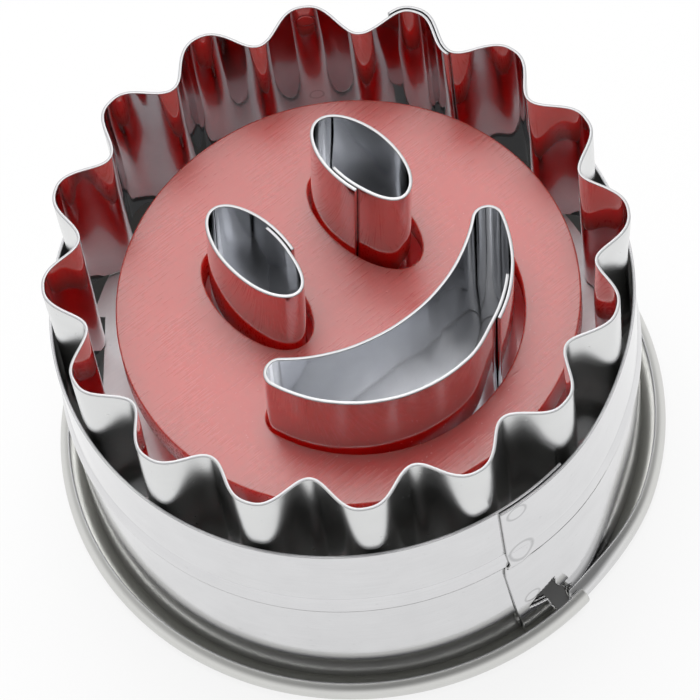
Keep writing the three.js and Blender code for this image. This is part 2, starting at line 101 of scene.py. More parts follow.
def soft_light(name, bearing, elevation, distance, size, watts):
    """Square area lamp at a bearing and elevation in degrees as seen from the object, aimed back at it."""
    lamp = bpy.data.lights.new(name, "AREA")
    lamp.shape = "SQUARE"
    lamp.size = size
    lamp.energy = watts
    up, round_z = math.radians(elevation), math.radians(bearing)
    away = Vector((math.cos(up) * math.cos(round_z), math.cos(up) * math.sin(round_z), math.sin(up)))
    holder = bpy.data.objects.new(name, lamp)
    bpy.context.scene.collection.objects.link(holder)
    holder.matrix_world = (Matrix.Translation(away * distance + Vector((0, 0, 0.02)))
                           @ away.to_track_quat("Z", "Y").to_matrix().to_4x4())


FILL_LEVEL, NEAR_CEILING, FAR_CEILING = 0.56, 0.24, 0.50
SEEN_RAYS = ("Is Camera Ray", "Is Glossy Ray", "Is Transmission Ray")
soft_light("far_softbox", 58.5, 60, 0.9, 0.88, 4.2)
soft_light("top_softbox", 58.5, 84, 0.9, 0.40, 1.5)

world = bpy.data.worlds.new("studio")
bpy.context.scene.world = world
world.use_nodes = True


def feed(tree, socket, value):
    """Sets a socket to a number, or links another socket to it."""
    if isinstance(value, (int, float)):
        socket.default_value = value
    else:
        tree.links.new(value, socket)


def math_node(tree, operation, *values):
    """Result of a Math node; each value is a number or a socket."""
    node = tree.nodes.new("ShaderNodeMath")
    node.operation = operation
    for socket, value in zip(node.inputs, values):
        feed(tree, socket, value)
    return node.outputs[0]


def mapped(tree, value, low, high, start=0.0):
    """A value socket brought to start at low and to 1 at high, and held there beyond."""
    node = tree.nodes.new("ShaderNodeMapRange")
    node.inputs["From Min"].default_value = low
    node.inputs["From Max"].default_value = high
    node.inputs["To Min"].default_value = start
    tree.links.new(value, node.inputs["Value"])
    return node.outputs["Result"]


def any_ray(tree, *kinds):
    """1 for a ray of one of these kinds and 0 for any other."""
    path = tree.nodes.new("ShaderNodeLightPath")
    total = path.outputs[kinds[0]]
    for kind in kinds[1:]:
        total = math_node(tree, "MAXIMUM", total, path.outputs[kind])
    return total


def between(tree, share, low, high):
    """Value that goes from low to high as the share goes from 0 to 1; each is a number or a socket."""
    node = tree.nodes.new("ShaderNodeMix")
    for place, value in zip((0, 2, 3), (share, low, high)):
        feed(tree, node.inputs[place], value)
    return node.outputs[0]


tree = world.node_tree
direction = tree.nodes.new("ShaderNodeSeparateXYZ")
tree.links.new(tree.nodes.new("ShaderNodeTexCoord").outputs["Generated"], direction.inputs[0])
climb = mapped(tree, direction.outputs["Z"], 0.10, 0.60)
beyond = mapped(tree, direction.outputs["Y"], -0.45, 0.25)
mirrored = between(tree, climb, 1.0, between(tree, beyond, NEAR_CEILING, FAR_CEILING))
shown = between(tree, any_ray(tree, "Is Camera Ray"), mirrored, 1.0)
seen = any_ray(tree, *SEEN_RAYS)
tree.links.new(between(tree, seen, FILL_LEVEL, shown), tree.nodes["Background"].inputs["Strength"])
tree.nodes["Background"].inputs["Color"].default_value = (1, 1, 1, 1)
print("two soft lights, fill", FILL_LEVEL, "and a ceiling of", NEAR_CEILING, "to", FAR_CEILING, "in reflections")

# %% [markdown]
# ## Floor
#
# The floor is a large sheet of white paper. A curved backdrop could be modelled, but seen from above a flat
# sheet looks the same. Far from the object it shows plain white to the camera and in reflections. Near the
# object it stays a lit surface, which keeps the shadow. Inside the rim, where the object covers it, the paper's
# colour and its white are painted dark as painted shade, and that shows through the tear in the sleeve.

# %% Floor
FLOOR_HALF, NEAR_WHITE, COVERED_RADIUS = 4.0, 0.80, 0.0250
NEAR_REACH, FAR_REACH = 0.03, 0.15
# Painted shade: inside the rim the paper's colour and its white are set dark for the shade under the object.
SHADE_PAINTED_WHITE, SHADE_PAINTED_GREY, PAPER_GREY = 0.05, 0.30, 0.93
floor_mesh = bpy.data.meshes.new("studio_floor")
corners = np.array([[-1, -1, 0], [1, -1, 0], [1, 1, 0], [-1, 1, 0]], float) * FLOOR_HALF
floor_mesh.from_pydata(corners.tolist(), [], [[0, 1, 2, 3]])
floor = bpy.data.objects.new("studio_floor", floor_mesh)
bpy.context.scene.collection.objects.link(floor)

paper = bpy.data.materials.new("white_paper")
paper.use_nodes = True
tree = paper.node_tree
tree.nodes.clear()
distance = tree.nodes.new("ShaderNodeVectorMath")
distance.operation = "LENGTH"
tree.links.new(tree.nodes.new("ShaderNodeTexCoord").outputs["Object"], distance.inputs[0])
reach = distance.outputs["Value"]
far = mapped(tree, reach, NEAR_REACH, FAR_REACH, NEAR_WHITE)
outside = math_node(tree, "GREATER_THAN", reach, COVERED_RADIUS)
# Inside the rim the white seen by camera and reflections is painted dark: painted shade.
seen = between(tree, any_ray(tree, *SEEN_RAYS), 0.0, between(tree, outside, SHADE_PAINTED_WHITE, 1.0))
lit = tree.nodes.new("ShaderNodeBsdfDiffuse")
tree.links.new(between(tree, outside, SHADE_PAINTED_GREY, PAPER_GREY), lit.inputs["Color"])
plain_white = tree.nodes.new("ShaderNodeEmission")
mix = tree.nodes.new("ShaderNodeMixShader")
tree.links.new(between(tree, seen, 0.0, far), mix.inputs["Fac"])
tree.links.new(lit.outputs["BSDF"], mix.inputs[1])
tree.links.new(plain_white.outputs["Emission"], mix.inputs[2])
paper_out = tree.nodes.new("ShaderNodeOutputMaterial")
tree.links.new(mix.outputs["Shader"], paper_out.inputs["Surface"])
floor_mesh.materials.append(paper)
print("floor", FLOOR_HALF * 2, "m square")

# %% [markdown]
# ## Finishes
#
# Bright sheet steel isn't a perfect mirror. It has faint drawing lines, tiny pits and cloudy patches from
# handling, and each spot weld leaves a faint ring. The red plastic has fine hairlines from cleaning. These are
# the same few effects at other scales, so they are three node groups: lines and specks, cloudy patches, and
# the ring of a weld. An image could hold such marks, but a formula stays sharp at any distance. Each material
# places the groups with its own values, and they drive roughness, colour and a very low bump.


# %% Node groups for fine marks, cloudy patches and weld marks
def new_group(name, inputs, outputs):
    """Empty shader node group with named float or vector inputs and float outputs."""
    group = bpy.data.node_groups.new(name, "ShaderNodeTree")
    for label, kind, value in inputs:
        socket = group.interface.new_socket(label, in_out="INPUT", socket_type=kind)
        socket.default_value = value
    for label in outputs:
        group.interface.new_socket(label, in_out="OUTPUT", socket_type="NodeSocketFloat")
    return group, group.nodes.new("NodeGroupInput"), group.nodes.new("NodeGroupOutput")


def noise(tree, vector, scale, detail, roughness=0.5):
    """Value of a noise texture; the scale is a number or a socket."""
    node = tree.nodes.new("ShaderNodeTexNoise")
    node.inputs["Detail"].default_value = detail
    node.inputs["Roughness"].default_value = roughness
    tree.links.new(vector, node.inputs["Vector"])
    feed(tree, node.inputs["Scale"], scale)
    return node.outputs["Fac"]


marks, entry, leave = new_group(
    "fine_marks",
    [("Vector", "NodeSocketVector", (0, 0, 0)), ("Stretch", "NodeSocketVector", (1, 1, 1)),
     ("Line Scale", "NodeSocketFloat", 1.0), ("Speck Scale", "NodeSocketFloat", 1.0)],
    ["Lines", "Specks"])
stretched = marks.nodes.new("ShaderNodeVectorMath")
stretched.operation = "MULTIPLY"
marks.links.new(entry.outputs["Vector"], stretched.inputs[0])
marks.links.new(entry.outputs["Stretch"], stretched.inputs[1])
line_value = noise(marks, stretched.outputs["Vector"], entry.outputs["Line Scale"], 3, 0.6)
marks.links.new(mapped(marks, line_value, 0.3, 0.7), leave.inputs["Lines"])
speck_value = noise(marks, entry.outputs["Vector"], entry.outputs["Speck Scale"], 1)
marks.links.new(mapped(marks, speck_value, 0.70, 0.78), leave.inputs["Specks"])

patches, entry, leave = new_group(
    "cloudy_patches",
    [("Vector", "NodeSocketVector", (0, 0, 0)), ("Scale", "NodeSocketFloat", 1.0)],
    ["Cloud"])
cloud_value = noise(patches, entry.outputs["Vector"], entry.outputs["Scale"], 4, 0.55)
patches.links.new(mapped(patches, cloud_value, 0.32, 0.68), leave.inputs["Cloud"])

weld, entry, leave = new_group(
    "weld_mark",
    [("Vector", "NodeSocketVector", (0, 0, 0)), ("Place", "NodeSocketVector", (0, 0, 0)),
     ("Radius", "NodeSocketFloat", 0.001)],
    ["Ring"])
gap = weld.nodes.new("ShaderNodeVectorMath")
gap.operation = "DISTANCE"
weld.links.new(entry.outputs["Vector"], gap.inputs[0])
weld.links.new(entry.outputs["Place"], gap.inputs[1])
share = math_node(weld, "DIVIDE", gap.outputs["Value"], entry.outputs["Radius"])
off = math_node(weld, "ABSOLUTE", math_node(weld, "SUBTRACT", share, 1.0))
weld.links.new(mapped(weld, off, 0.22, 0.04), leave.inputs["Ring"])
print("node groups:", marks.name, patches.name, weld.name)

# %% [markdown]
# ## Sheet steel
#
# There are four steel finishes: polished for the ring and the motif tubes, satin for the sleeve, a smooth
# grey for the carrier disc, and spring wire. Four materials could be drawn by hand, but they differ only in
# their values, so one function makes them. Two masks kept on the points tell it where the sheet was cut and
# where it is matt. The carrier is duller past the plate's edge, where it was handled and rubbed.

# %% Sheet steel
EDGE_ROUGH, MATT_ROUGH = 0.42, 0.34
MATT_STEEL, CUT_STEEL = (0.68, 0.68, 0.65), (0.58, 0.58, 0.59)


def place_group(tree, group, vector, **values):
    """Puts a node group in a material, feeds its Vector and sets its other inputs by name."""
    node = tree.nodes.new("ShaderNodeGroup")
    node.node_tree = group
    tree.links.new(vector, node.inputs["Vector"])
    for label, value in values.items():
        node.inputs[label.replace("_", " ")].default_value = value
    return node


def weighted(tree, terms, base):
    """Base number plus the sum of socket times weight."""
    total = base
    for socket, weight in terms:
        total = math_node(tree, "MULTIPLY_ADD", socket, weight, total)
    return total


def two_colours(tree, share, first, second):
    """Mix of two colours by a 0 to 1 socket; the first colour is three numbers or a socket."""
    node = tree.nodes.new("ShaderNodeMix")
    node.data_type = "RGBA"
    factor, a, b = (node.inputs[i] for i in (0, 6, 7))
    if isinstance(first, tuple):
        a.default_value = (*first, 1)
    else:
        tree.links.new(first, a)
    b.default_value = (*second, 1)
    tree.links.new(share, factor)
    return node.outputs[2]


def bump(tree, height, distance):
    """Normal from a height socket, with the height of a full step in metres."""
    node = tree.nodes.new("ShaderNodeBump")
    node.inputs["Strength"].default_value = 1.0
    node.inputs["Distance"].default_value = distance
    tree.links.new(height, node.inputs["Height"])
    return node.outputs["Normal"]


def reach_mask(tree, place, low, high):
    """0 at one distance from a place on the object and 1 at another, all in millimetres."""
    reach = tree.nodes.new("ShaderNodeVectorMath")
    reach.operation = "DISTANCE"
    reach.inputs[1].default_value = tuple(c * MM for c in place)
    tree.links.new(tree.nodes.new("ShaderNodeTexCoord").outputs["Object"], reach.inputs[0])
    return mapped(tree, reach.outputs["Value"], low * MM, high * MM)


def sheet_steel(name, coordinates, bright, dull, roughness, cloudiness, line_bump, stretch,
                cut_edges=True, welds=()):
    """Metal whose roughness and colour follow fine lines, specks and clouds.

    Cut edges and matt areas are rougher. Weld marks are (bearing in degrees, distance from the axis, height,
    radius), in millimetres."""
    material = bpy.data.materials.new(name)
    material.use_nodes = True
    tree = material.node_tree
    shader = tree.nodes["Principled BSDF"]
    shader.inputs["Metallic"].default_value = 1.0
    where = tree.nodes.new("ShaderNodeTexCoord").outputs[coordinates]
    scale = 1.0 if coordinates == "UV" else 1 / MM
    fine = place_group(tree, marks, where, Stretch=stretch, Line_Scale=1.6 * scale, Speck_Scale=2.2 * scale)
    cloud = place_group(tree, patches, where, Scale=0.28 * scale).outputs["Cloud"]
    lines, specks = fine.outputs["Lines"], fine.outputs["Specks"]
    rough_terms = [(cloud, cloudiness), (lines, cloudiness / 2), (specks, 0.12)]
    if cut_edges:
        edge = tree.nodes.new("ShaderNodeAttribute")
        edge.attribute_name = "cut_edge"
        matt = tree.nodes.new("ShaderNodeAttribute")
        matt.attribute_name = "matt"
        rough_terms += [(edge.outputs["Fac"], EDGE_ROUGH), (matt.outputs["Fac"], MATT_ROUGH)]
    tree.links.new(weighted(tree, rough_terms, roughness), shader.inputs["Roughness"])
    shade = weighted(tree, [(specks, 0.5), (cloud, 0.3), (lines, 0.3)], 0.0)
    colour = two_colours(tree, shade, bright, dull)
    if cut_edges:
        colour = two_colours(tree, matt.outputs["Fac"], colour, MATT_STEEL)
        colour = two_colours(tree, edge.outputs["Fac"], colour, CUT_STEEL)
    bumps = [(lines, 1.0), (specks, -1.5)]
    body = tree.nodes.new("ShaderNodeTexCoord").outputs["Object"]
    for bearing, reach, z, radius in welds:
        a = math.radians(bearing)
        ring = place_group(tree, weld, body, Place=(reach * MM * math.cos(a), reach * MM * math.sin(a), z * MM),
                           Radius=radius * MM).outputs["Ring"]
        bumps.append((ring, -10.0))
        colour = two_colours(tree, ring, colour, tuple(0.8 * c for c in dull))
    tree.links.new(colour, shader.inputs["Base Color"])
    height = weighted(tree, bumps, 0.0)
    tree.links.new(bump(tree, height, line_bump), shader.inputs["Normal"])
    return material


polished_sheet = sheet_steel("polished_sheet", "UV", (0.75, 0.76, 0.78), (0.65, 0.66, 0.69),
                             0.04, 0.02, 0.0000007, (0.15, 5.0, 1.0),
                             welds=[(56.7, 23.7, 29.0, 0.8), (56.7, 23.7, 17.6, 0.6)])
satin_sheet = sheet_steel("satin_sheet", "UV", (0.71, 0.71, 0.72), (0.62, 0.62, 0.63),
                          0.06, 0.04, 0.0000008, (0.12, 4.0, 1.0),
                          welds=[(-94.5, 24.8, 15.7, 1.15), (-93.0, 24.8, 6.3, 0.75), (-94.7, 24.8, 22.3, 0.9)])
carrier_sheet = sheet_steel("carrier_sheet", "Object", (0.78, 0.78, 0.79), (0.70, 0.70, 0.72),
                            0.30, 0.06, 0.0000003, (0.3, 3.0, 1.0), cut_edges=False)
spring_wire = sheet_steel("spring_wire", "UV", (0.60, 0.60, 0.62), (0.48, 0.48, 0.50),
                          0.24, 0.10, 0.0000012, (0.2, 4.0, 1.0), cut_edges=False)
tree = carrier_sheet.node_tree
past_plate = reach_mask(tree, (0.45, 0.0, 13.5), 18.9, 19.3)
rough_input = tree.nodes["Principled BSDF"].inputs["Roughness"]
dulled = weighted(tree, [(past_plate, 0.15), (rough_input.links[0].from_socket, 1.0)], 0.0)
tree.links.new(dulled, rough_input)
print("steel finishes:", polished_sheet.name, satin_sheet.name, carrier_sheet.name, spring_wire.name)


# %% [markdown]
# ## Red plastic
#
# The plate and the knob are moulded in a deep red with a semi-matt surface. The plastic lets some light
# through, so thin edges and the walls of the holes glow a stronger red. A plain colour would turn brown there,
# so the light is scattered below the surface. Fine hairlines run across it. A bump alone would vanish at this
# size, so the hairlines also change the roughness and lighten the colour. In front of the mouth the surface is
# smoother, and its colour is painted a lighter, stronger red: painted light for the light that the steel walls
# throw onto it.


# %% Red plastic
# The red below is painted light: a lighter red in front of the mouth for light thrown onto the plate by the steel
# walls.
PAINTED_LIGHT_RED = (0.72, 0.04, 0.030)


def moulded_plastic(name, colour, worn):
    """Semi-matt translucent plastic with hairlines along the X axis and a faint cloudiness."""
    material = bpy.data.materials.new(name)
    material.use_nodes = True
    tree = material.node_tree
    shader = tree.nodes["Principled BSDF"]
    shader.inputs["IOR"].default_value = 1.75
    shader.inputs["Specular IOR Level"].default_value = 0.7
    shader.inputs["Subsurface Weight"].default_value = 0.9
    shader.inputs["Subsurface Radius"].default_value = (1.0, 0.06, 0.05)
    shader.inputs["Subsurface Scale"].default_value = 16.0 * MM
    where = tree.nodes.new("ShaderNodeTexCoord").outputs["Object"]
    fine = place_group(tree, marks, where, Stretch=(0.10, 2.2, 1.0), Line_Scale=3.0 / MM, Speck_Scale=3.2 / MM)
    cloud = place_group(tree, patches, where, Scale=0.25 / MM).outputs["Cloud"]
    lines, specks = fine.outputs["Lines"], fine.outputs["Specks"]
    near = math_node(tree, "MULTIPLY", reach_mask(tree, (0.45, -2.6, 23.4), 17.5, 13.4),
                     reach_mask(tree, (0.45, 6.4, 23.4), 10.5, 15.0))
    tree.links.new(weighted(tree, [(lines, 0.08), (cloud, 0.05), (specks, 0.1), (near, -0.07)], 0.23),
                   shader.inputs["Roughness"])
    shade = weighted(tree, [(lines, 0.45), (cloud, 0.25), (specks, 0.3)], 0.0)
    mixed = two_colours(tree, shade, colour, worn)
    # Painted light: in front of the mouth the colour goes to a lighter red for light thrown on by the steel walls.
    painted_light_share = weighted(tree, [(near, 0.75)], 0.0)
    tree.links.new(two_colours(tree, painted_light_share, mixed, PAINTED_LIGHT_RED), shader.inputs["Base Color"])
    height = weighted(tree, [(lines, 1.0), (cloud, 1.5), (specks, -1.0)], 0.0)
    tree.links.new(bump(tree, height, 0.000005), shader.inputs["Normal"])
    return material


red_plastic = moulded_plastic("red_plastic", (0.56, 0.034, 0.022), (0.63, 0.056, 0.040))
print("plastic finish:", red_plastic.name)

# %% [markdown]
# ## From a grid of points to a piece
#
# Every sheet below is a grid: one direction runs along the bend and the other round the sheet's cross-section.
# Quads between neighbouring points make the skin. Blender could skin a curve with a bevel, but a grid keeps the
# sheet's two faces, its rounded cut edges and a UV map in millimetres, which the finishes follow.


# %% Grid helpers
def smoothstep(x, low, high):
    """Eases from 0 at low to 1 at high: t * t * (3 - 2 t) with t the share of the way, held to 0 and 1."""
    t = np.clip((x - low) / (high - low), 0, 1)
    return t * t * (3 - 2 * t)


def bell(x, middle, width):
    """Bell curve: exp(-((x - middle) / width) squared)."""
    return np.exp(-((x - middle) / width) ** 2)


def quads(rows, columns, wrap_rows=False, wrap_columns=False):
    """Corner numbers of the quads of a grid, row after row. A wrapped direction joins its end to its start."""
    i, j = np.meshgrid(np.arange(rows - (not wrap_rows)), np.arange(columns - (not wrap_columns)), indexing="ij")
    below, beside = (i + 1) % rows, (j + 1) % columns
    corners = [i * columns + j, below * columns + j, below * columns + beside, i * columns + beside]
    return np.stack(corners, -1).reshape(-1, 4)


def rungs(first, size, flip):
    """Quads that close the end of a tube of section loops: rungs between the loop's two halves."""
    j = np.arange(size // 2 - 1)
    corners = np.stack([j, j + 1, size - 2 - j, size - 1 - j], -1) + first
    return corners[:, ::-1] if flip else corners


def make_piece(name, points, faces, material, body, node, slot, uv=None, edge=None, matt=None):
    """Mesh object from points in millimetres and arrays of faces, smooth, placed on a body for a CAD node."""
    points = np.asarray(points, float).reshape(-1, 3)
    sizes = np.concatenate([np.full(len(f), f.shape[1]) for f in faces])
    corners = np.concatenate([np.asarray(f).ravel() for f in faces])
    mesh = bpy.data.meshes.new(name)
    mesh.vertices.add(len(points))
    mesh.vertices.foreach_set("co", (points * MM).ravel())
    mesh.loops.add(len(corners))
    mesh.loops.foreach_set("vertex_index", corners.astype(np.int32))
    mesh.polygons.add(len(sizes))
    mesh.polygons.foreach_set("loop_start", np.concatenate([[0], np.cumsum(sizes)[:-1]]).astype(np.int32))
    mesh.polygons.foreach_set("use_smooth", np.ones(len(sizes), bool))
    mesh.update(calc_edges=True)
    if uv is not None:
        layer = mesh.uv_layers.new(name="along_and_across")
        layer.data.foreach_set("uv", np.asarray(uv, float).reshape(-1, 2)[corners].ravel())
    for label, values in (("cut_edge", edge), ("matt", matt)):
        if values is not None:
            attribute = mesh.attributes.new(label, "FLOAT", "POINT")
            attribute.data.foreach_set("value", np.asarray(values, np.float32).ravel())
    mesh.materials.append(material)
    piece = bpy.data.objects.new(name, mesh)
    bpy.context.scene.collection.objects.link(piece)
    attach(piece, body)
    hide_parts(node)
    print(name, "triangles:", int((sizes - 2).sum()), "size in mm:", np.round(np.ptp(points, axis=0), 2))
    return piece


# %% [markdown]
# ## Lapped sheets
#
# The ring and the three motif tubes are strips of tin-bright steel, bent round a former until the ends lap. The
# lap shows at the edge as a doubled line. An outline with a Solidify modifier would lose that, so the strip is
# run a little more than once round its outline, and it starts one sheet further in.


# %% Cross-section and lapped strip
LAP_GAP, LAP_EASE = 0.1, 4.5
PLATE_BOTTOM = 20.3
EDGE_ROUND, EDGE_SUPPORT, EDGE_SLOPE = 0.06, 0.06, 0.22


def strip_section(sheet, start, end, inner_rows):
    """Loop round a strip's section as (inset from the front face, place across the strip, cut edge mask).

    Front face from start to end with quarter-round corners, then the same back along the other face."""
    a = np.linspace(0, np.pi / 2, 5)
    rows = np.concatenate([[start + EDGE_ROUND + EDGE_SUPPORT], inner_rows, [end - EDGE_ROUND - EDGE_SUPPORT]])
    inset = np.concatenate([EDGE_ROUND * (1 - np.sin(a)), 0 * rows, EDGE_ROUND * (1 - np.cos(a))])
    place = np.concatenate([start + EDGE_ROUND * (1 - np.cos(a)), rows, end - EDGE_ROUND * (1 - np.sin(a))])
    cut = np.concatenate([np.ones(5), 0 * rows, np.ones(5)])
    return (np.concatenate([inset, sheet - inset[::-1]]), np.concatenate([place, place[::-1]]),
            np.concatenate([cut, cut[::-1]]))


def outward_of(outline, share):
    """Unit vector square to an anticlockwise outline: its tangent turned a quarter to the right."""
    tangent = outline(share + 1e-5) - outline(share - 1e-5)
    normal = np.stack([tangent[:, 1], -tangent[:, 0]], -1)
    return normal / np.linalg.norm(normal, axis=1, keepdims=True)


def lapped_strip(outline, start, lap, turn, sheet, bottom, top, steps, dents, lean=(0.0, 0.0)):
    """Grid of an upright strip run 1 + lap times round an outline.

    Point = outline - outward * (set-in + inset - dent) + lean * (height - top). Below the plate the lean grows
    no more. The set-in is one sheet and the lap's gap under the lap, and eases to nothing just past it."""
    along = np.linspace(0, 1 + lap, steps)[::turn]
    share = start + turn * along
    length = np.linalg.norm(np.diff(outline(np.linspace(0, 1, 4000)), axis=0), axis=1).sum()
    under = 1 - smoothstep(along, lap, lap + LAP_EASE / length)
    inset, height, cut = strip_section(sheet, bottom, top, np.linspace(bottom + 0.5, top - 0.5, 14))
    depth = (under * (sheet + LAP_GAP))[:, None] + inset - dents(share[:, None] * length, height[None, :])
    flat = outline(share)[:, None, :] - outward_of(outline, share)[:, None, :] * depth[..., None]
    flat = flat + np.asarray(lean) * (np.maximum(height, PLATE_BOTTOM) - top)[:, None]
    height = height + EDGE_SLOPE * (inset - sheet) * smoothstep(height, top - 0.3, top - 0.06)
    points = np.dstack([flat, np.broadcast_to(height, depth.shape)])
    girth = np.concatenate([[0], np.cumsum(np.hypot(np.diff(inset), np.diff(height)))])
    uv = np.dstack(np.broadcast_arrays((share * length)[:, None], girth))
    size = len(height)
    faces = [quads(steps, size, wrap_columns=True), rungs(0, size, False), rungs((steps - 1) * size, size, True)]
    return points, faces, uv, np.broadcast_to(cut, depth.shape)


# %% [markdown]
# ## Fluted ring
#
# The ring is a wave round a circle with broad crests and narrow troughs. A plain cosine makes both alike, so
# the raised cosine is taken to a power a little over one. Hand-bent sheet is never quite even: the strip gets
# waves of a few hundredths of a millimetre, and its crests stand out unevenly at the cutting edge. Dents could
# be sculpted, but a few sines and bell curves are easier to change. The outer face is brushed, so it is duller.

# %% Fluted ring
CUTTING_HEIGHT, FLUTE_BOTTOM, SLEEVE_TOP = 31.0, 13.8, 23.4
FLUTE_COUNT, FLUTE_CREST, FLUTE_DEPTH, FLUTE_POWER, FLUTE_PHASE = 16, 24.0, 2.7, 1.33, 11.6
RING_SHEET, RING_LAP_START, RING_LAP, RING_STEPS, BRUSHED = 0.26, 23 / 360, 16 / 360, 1000, 0.45
FLUTE_UNEVEN = [(100, 45, 0.30, 1.4), (-38, 12, 0.45, 0.0), (36, 9, 0.35, 1.0), (-125, 25, 0.22, 1.0)]


def flute_outline(share):
    """Radius = crest - depth * raised cosine to a power, with a whole number of waves round the circle."""
    angle = 2 * np.pi * share
    dip = (1 - np.cos(FLUTE_COUNT * (angle - math.radians(FLUTE_PHASE)))) / 2
    radius = FLUTE_CREST - FLUTE_DEPTH * dip ** FLUTE_POWER
    return np.stack([radius * np.cos(angle), radius * np.sin(angle)], -1)


flute_length = np.linalg.norm(np.diff(flute_outline(np.linspace(0, 1, 4000)), axis=0), axis=1).sum()


def flute_dents(along, height):
    """Long slow waves along and across the strip, and crests that stand uneven towards the cutting edge.

    The unevenness is a sum of bell curves round the ring, some of them on the crests only."""
    wave = 0.022 * np.sin(0.19 * along + 0.4) * np.sin(0.21 * height + 0.7)
    wave = wave + 0.014 * np.sin(0.83 * along + 0.3 * height) + 0.008 * np.sin(2.1 * along - 0.5 * height)
    bearing = 360 * along / flute_length
    dip = (1 - np.cos(np.radians(FLUTE_COUNT * (bearing - FLUTE_PHASE)))) / 2
    uneven = 0
    for middle, width, amount, crests_only in FLUTE_UNEVEN:
        spread = bell((bearing - middle + 180) % 360 - 180, 0, width)
        uneven = uneven + amount * spread * (1 - crests_only * dip)
    return wave + uneven * smoothstep(height, SLEEVE_TOP + 0.4, CUTTING_HEIGHT)


points, faces, uv, edge = lapped_strip(
    flute_outline, RING_LAP_START, RING_LAP, 1, RING_SHEET, FLUTE_BOTTOM, CUTTING_HEIGHT, RING_STEPS, flute_dents)
brushed = np.zeros(edge.shape)
brushed[:, :edge.shape[1] // 2] = BRUSHED
make_piece("fluted_ring", points, faces, polished_sheet, "cutter_body", "fluted_cutter", "polished_sheet",
           uv, edge, brushed)

# %% [markdown]
# ## Outlines of the motif
#
# Two upright ovals and a crescent make the smiling face. The ovals are ellipses. The crescent is four arcs
# that meet smoothly: a wide outer arc, a flatter inner one, and a small round at each tip. A drawn curve could
# be traced, but arcs keep their form when a size changes, and the plate's holes reuse them.

# %% Outlines of the motif
MOTIF_SHIFT = 0.45
MOUTH_OUTER, MOUTH_INNER, MOUTH_TIP, MOUTH_RISE = 12.63, 15.37, 1.2, 8.97
MOUTH_TURN = math.radians(-0.9)
mouth_outer_y = -2.59
mouth_inner_y = mouth_outer_y + MOUTH_RISE
to_outer, to_inner = MOUTH_OUTER - MOUTH_TIP, MOUTH_INNER + MOUTH_TIP
tip_drop = (MOUTH_RISE ** 2 + to_outer ** 2 - to_inner ** 2) / (2 * MOUTH_RISE)
tip_side = math.sqrt(to_outer ** 2 - tip_drop ** 2)
tip_y = mouth_outer_y + tip_drop
outer_end = math.atan2(tip_drop, tip_side)
inner_end = math.atan2(tip_y - mouth_inner_y, tip_side)


def turned_flat(x, y, angle):
    """Points turned about the origin in the plane: (x cos - y sin, x sin + y cos)."""
    return np.stack([x * math.cos(angle) - y * math.sin(angle), x * math.sin(angle) + y * math.cos(angle)], -1)


def eye_outline(centre, half_width, half_length, degrees):
    """Ellipse of those half sizes, turned by some degrees about its centre."""
    def outline(share):
        a = 2 * np.pi * share
        oval = turned_flat(half_width * np.cos(a), half_length * np.sin(a), math.radians(degrees))
        return oval + np.asarray(centre)
    return outline


def mouth_outline(grow=0.0):
    """Four arcs in turn, each as long a part of the share as it is of the whole length."""
    radius = np.array([MOUTH_OUTER + grow, MOUTH_TIP + grow, MOUTH_INNER - grow, MOUTH_TIP + grow])
    middle = np.array([[0, mouth_outer_y], [tip_side, tip_y], [0, mouth_inner_y], [-tip_side, tip_y]])
    first = np.array([np.pi - outer_end, outer_end, inner_end, -inner_end])
    last = np.array([2 * np.pi + outer_end, np.pi + inner_end, -np.pi - inner_end, np.pi - outer_end])
    lengths = radius * np.abs(last - first)
    starts = np.concatenate([[0], np.cumsum(lengths)])

    def outline(share):
        walked = np.mod(share, 1.0) * starts[-1]
        arc = np.clip(np.searchsorted(starts, walked, side="right") - 1, 0, 3)
        part = (walked - starts[arc]) / lengths[arc]
        angle = first[arc] + (last - first)[arc] * part
        x = middle[arc, 0] + radius[arc] * np.cos(angle)
        y = middle[arc, 1] + radius[arc] * np.sin(angle)
        return turned_flat(x, y, MOUTH_TURN) + [MOTIF_SHIFT, 0]
    return outline


print("mouth tips at", round(tip_side, 2), round(tip_y, 2), "mm")

# %% [markdown]
# ## Motif tubes
#
# Each tube is a lapped strip on its outline, welded to the carrier. Tubes that are set by hand never stand quite
# upright. They could be turned as objects, but then they would leave their seats, so each one leans by a small
# step for every millimetre of height above the plate. The right eye stands taller than the rest.

# %% Eye tubes and mouth tube
CARRIER_TOP, MOTIF_SHEET = 13.55, 0.28


def motif_dents(along, height):
    """Slow waves of about a hundredth of a millimetre along and across the strip."""
    return 0.012 * np.sin(0.5 * along + 0.25 * height) + 0.006 * np.sin(1.7 * along - 0.6 * height + 1.0)


left_eye = eye_outline((-4.86, 4.24), 2.66, 5.58, 1.2)
right_eye = eye_outline((6.61, 4.20), 2.78, 5.36, 4.1)
tubes = [
    ("left_eye_tube", "left_eye_cutter", left_eye, 11 / 360, 33 / 360, -1, 31.0, 320, (0.067, -0.012)),
    ("right_eye_tube", "right_eye_cutter", right_eye, 169 / 360, 33 / 360, 1, 33.0, 320, (0.064, -0.048)),
    ("mouth_tube", "mouth_cutter", mouth_outline(0.15), 0.43, 0.07, -1, 31.0, 700, (0.050, -0.006)),
]
for name, node, outline, start, lap, direction, top, steps, lean in tubes:
    points, faces, uv, edge = lapped_strip(outline, start, lap, direction, MOTIF_SHEET, CARRIER_TOP, top, steps,
                                           motif_dents, lean)
    make_piece(name, points, faces, polished_sheet, "cutter_body", node, "polished_sheet", uv, edge)

# %% [markdown]
# ## Section of the sleeve
#
# The sleeve is one strip too: it goes once round, laps over its own start, and its foot is curled outwards into
# the rim that the cutter stands on. So the section is carried round by angle. It starts at the top, goes down
# the outer face past the bead, and follows the curl to its free lip. Past one full turn the strip lies on
# itself, lifted by a sheet and a gap along the section's own normal, so the curls nest as they do in the tin.

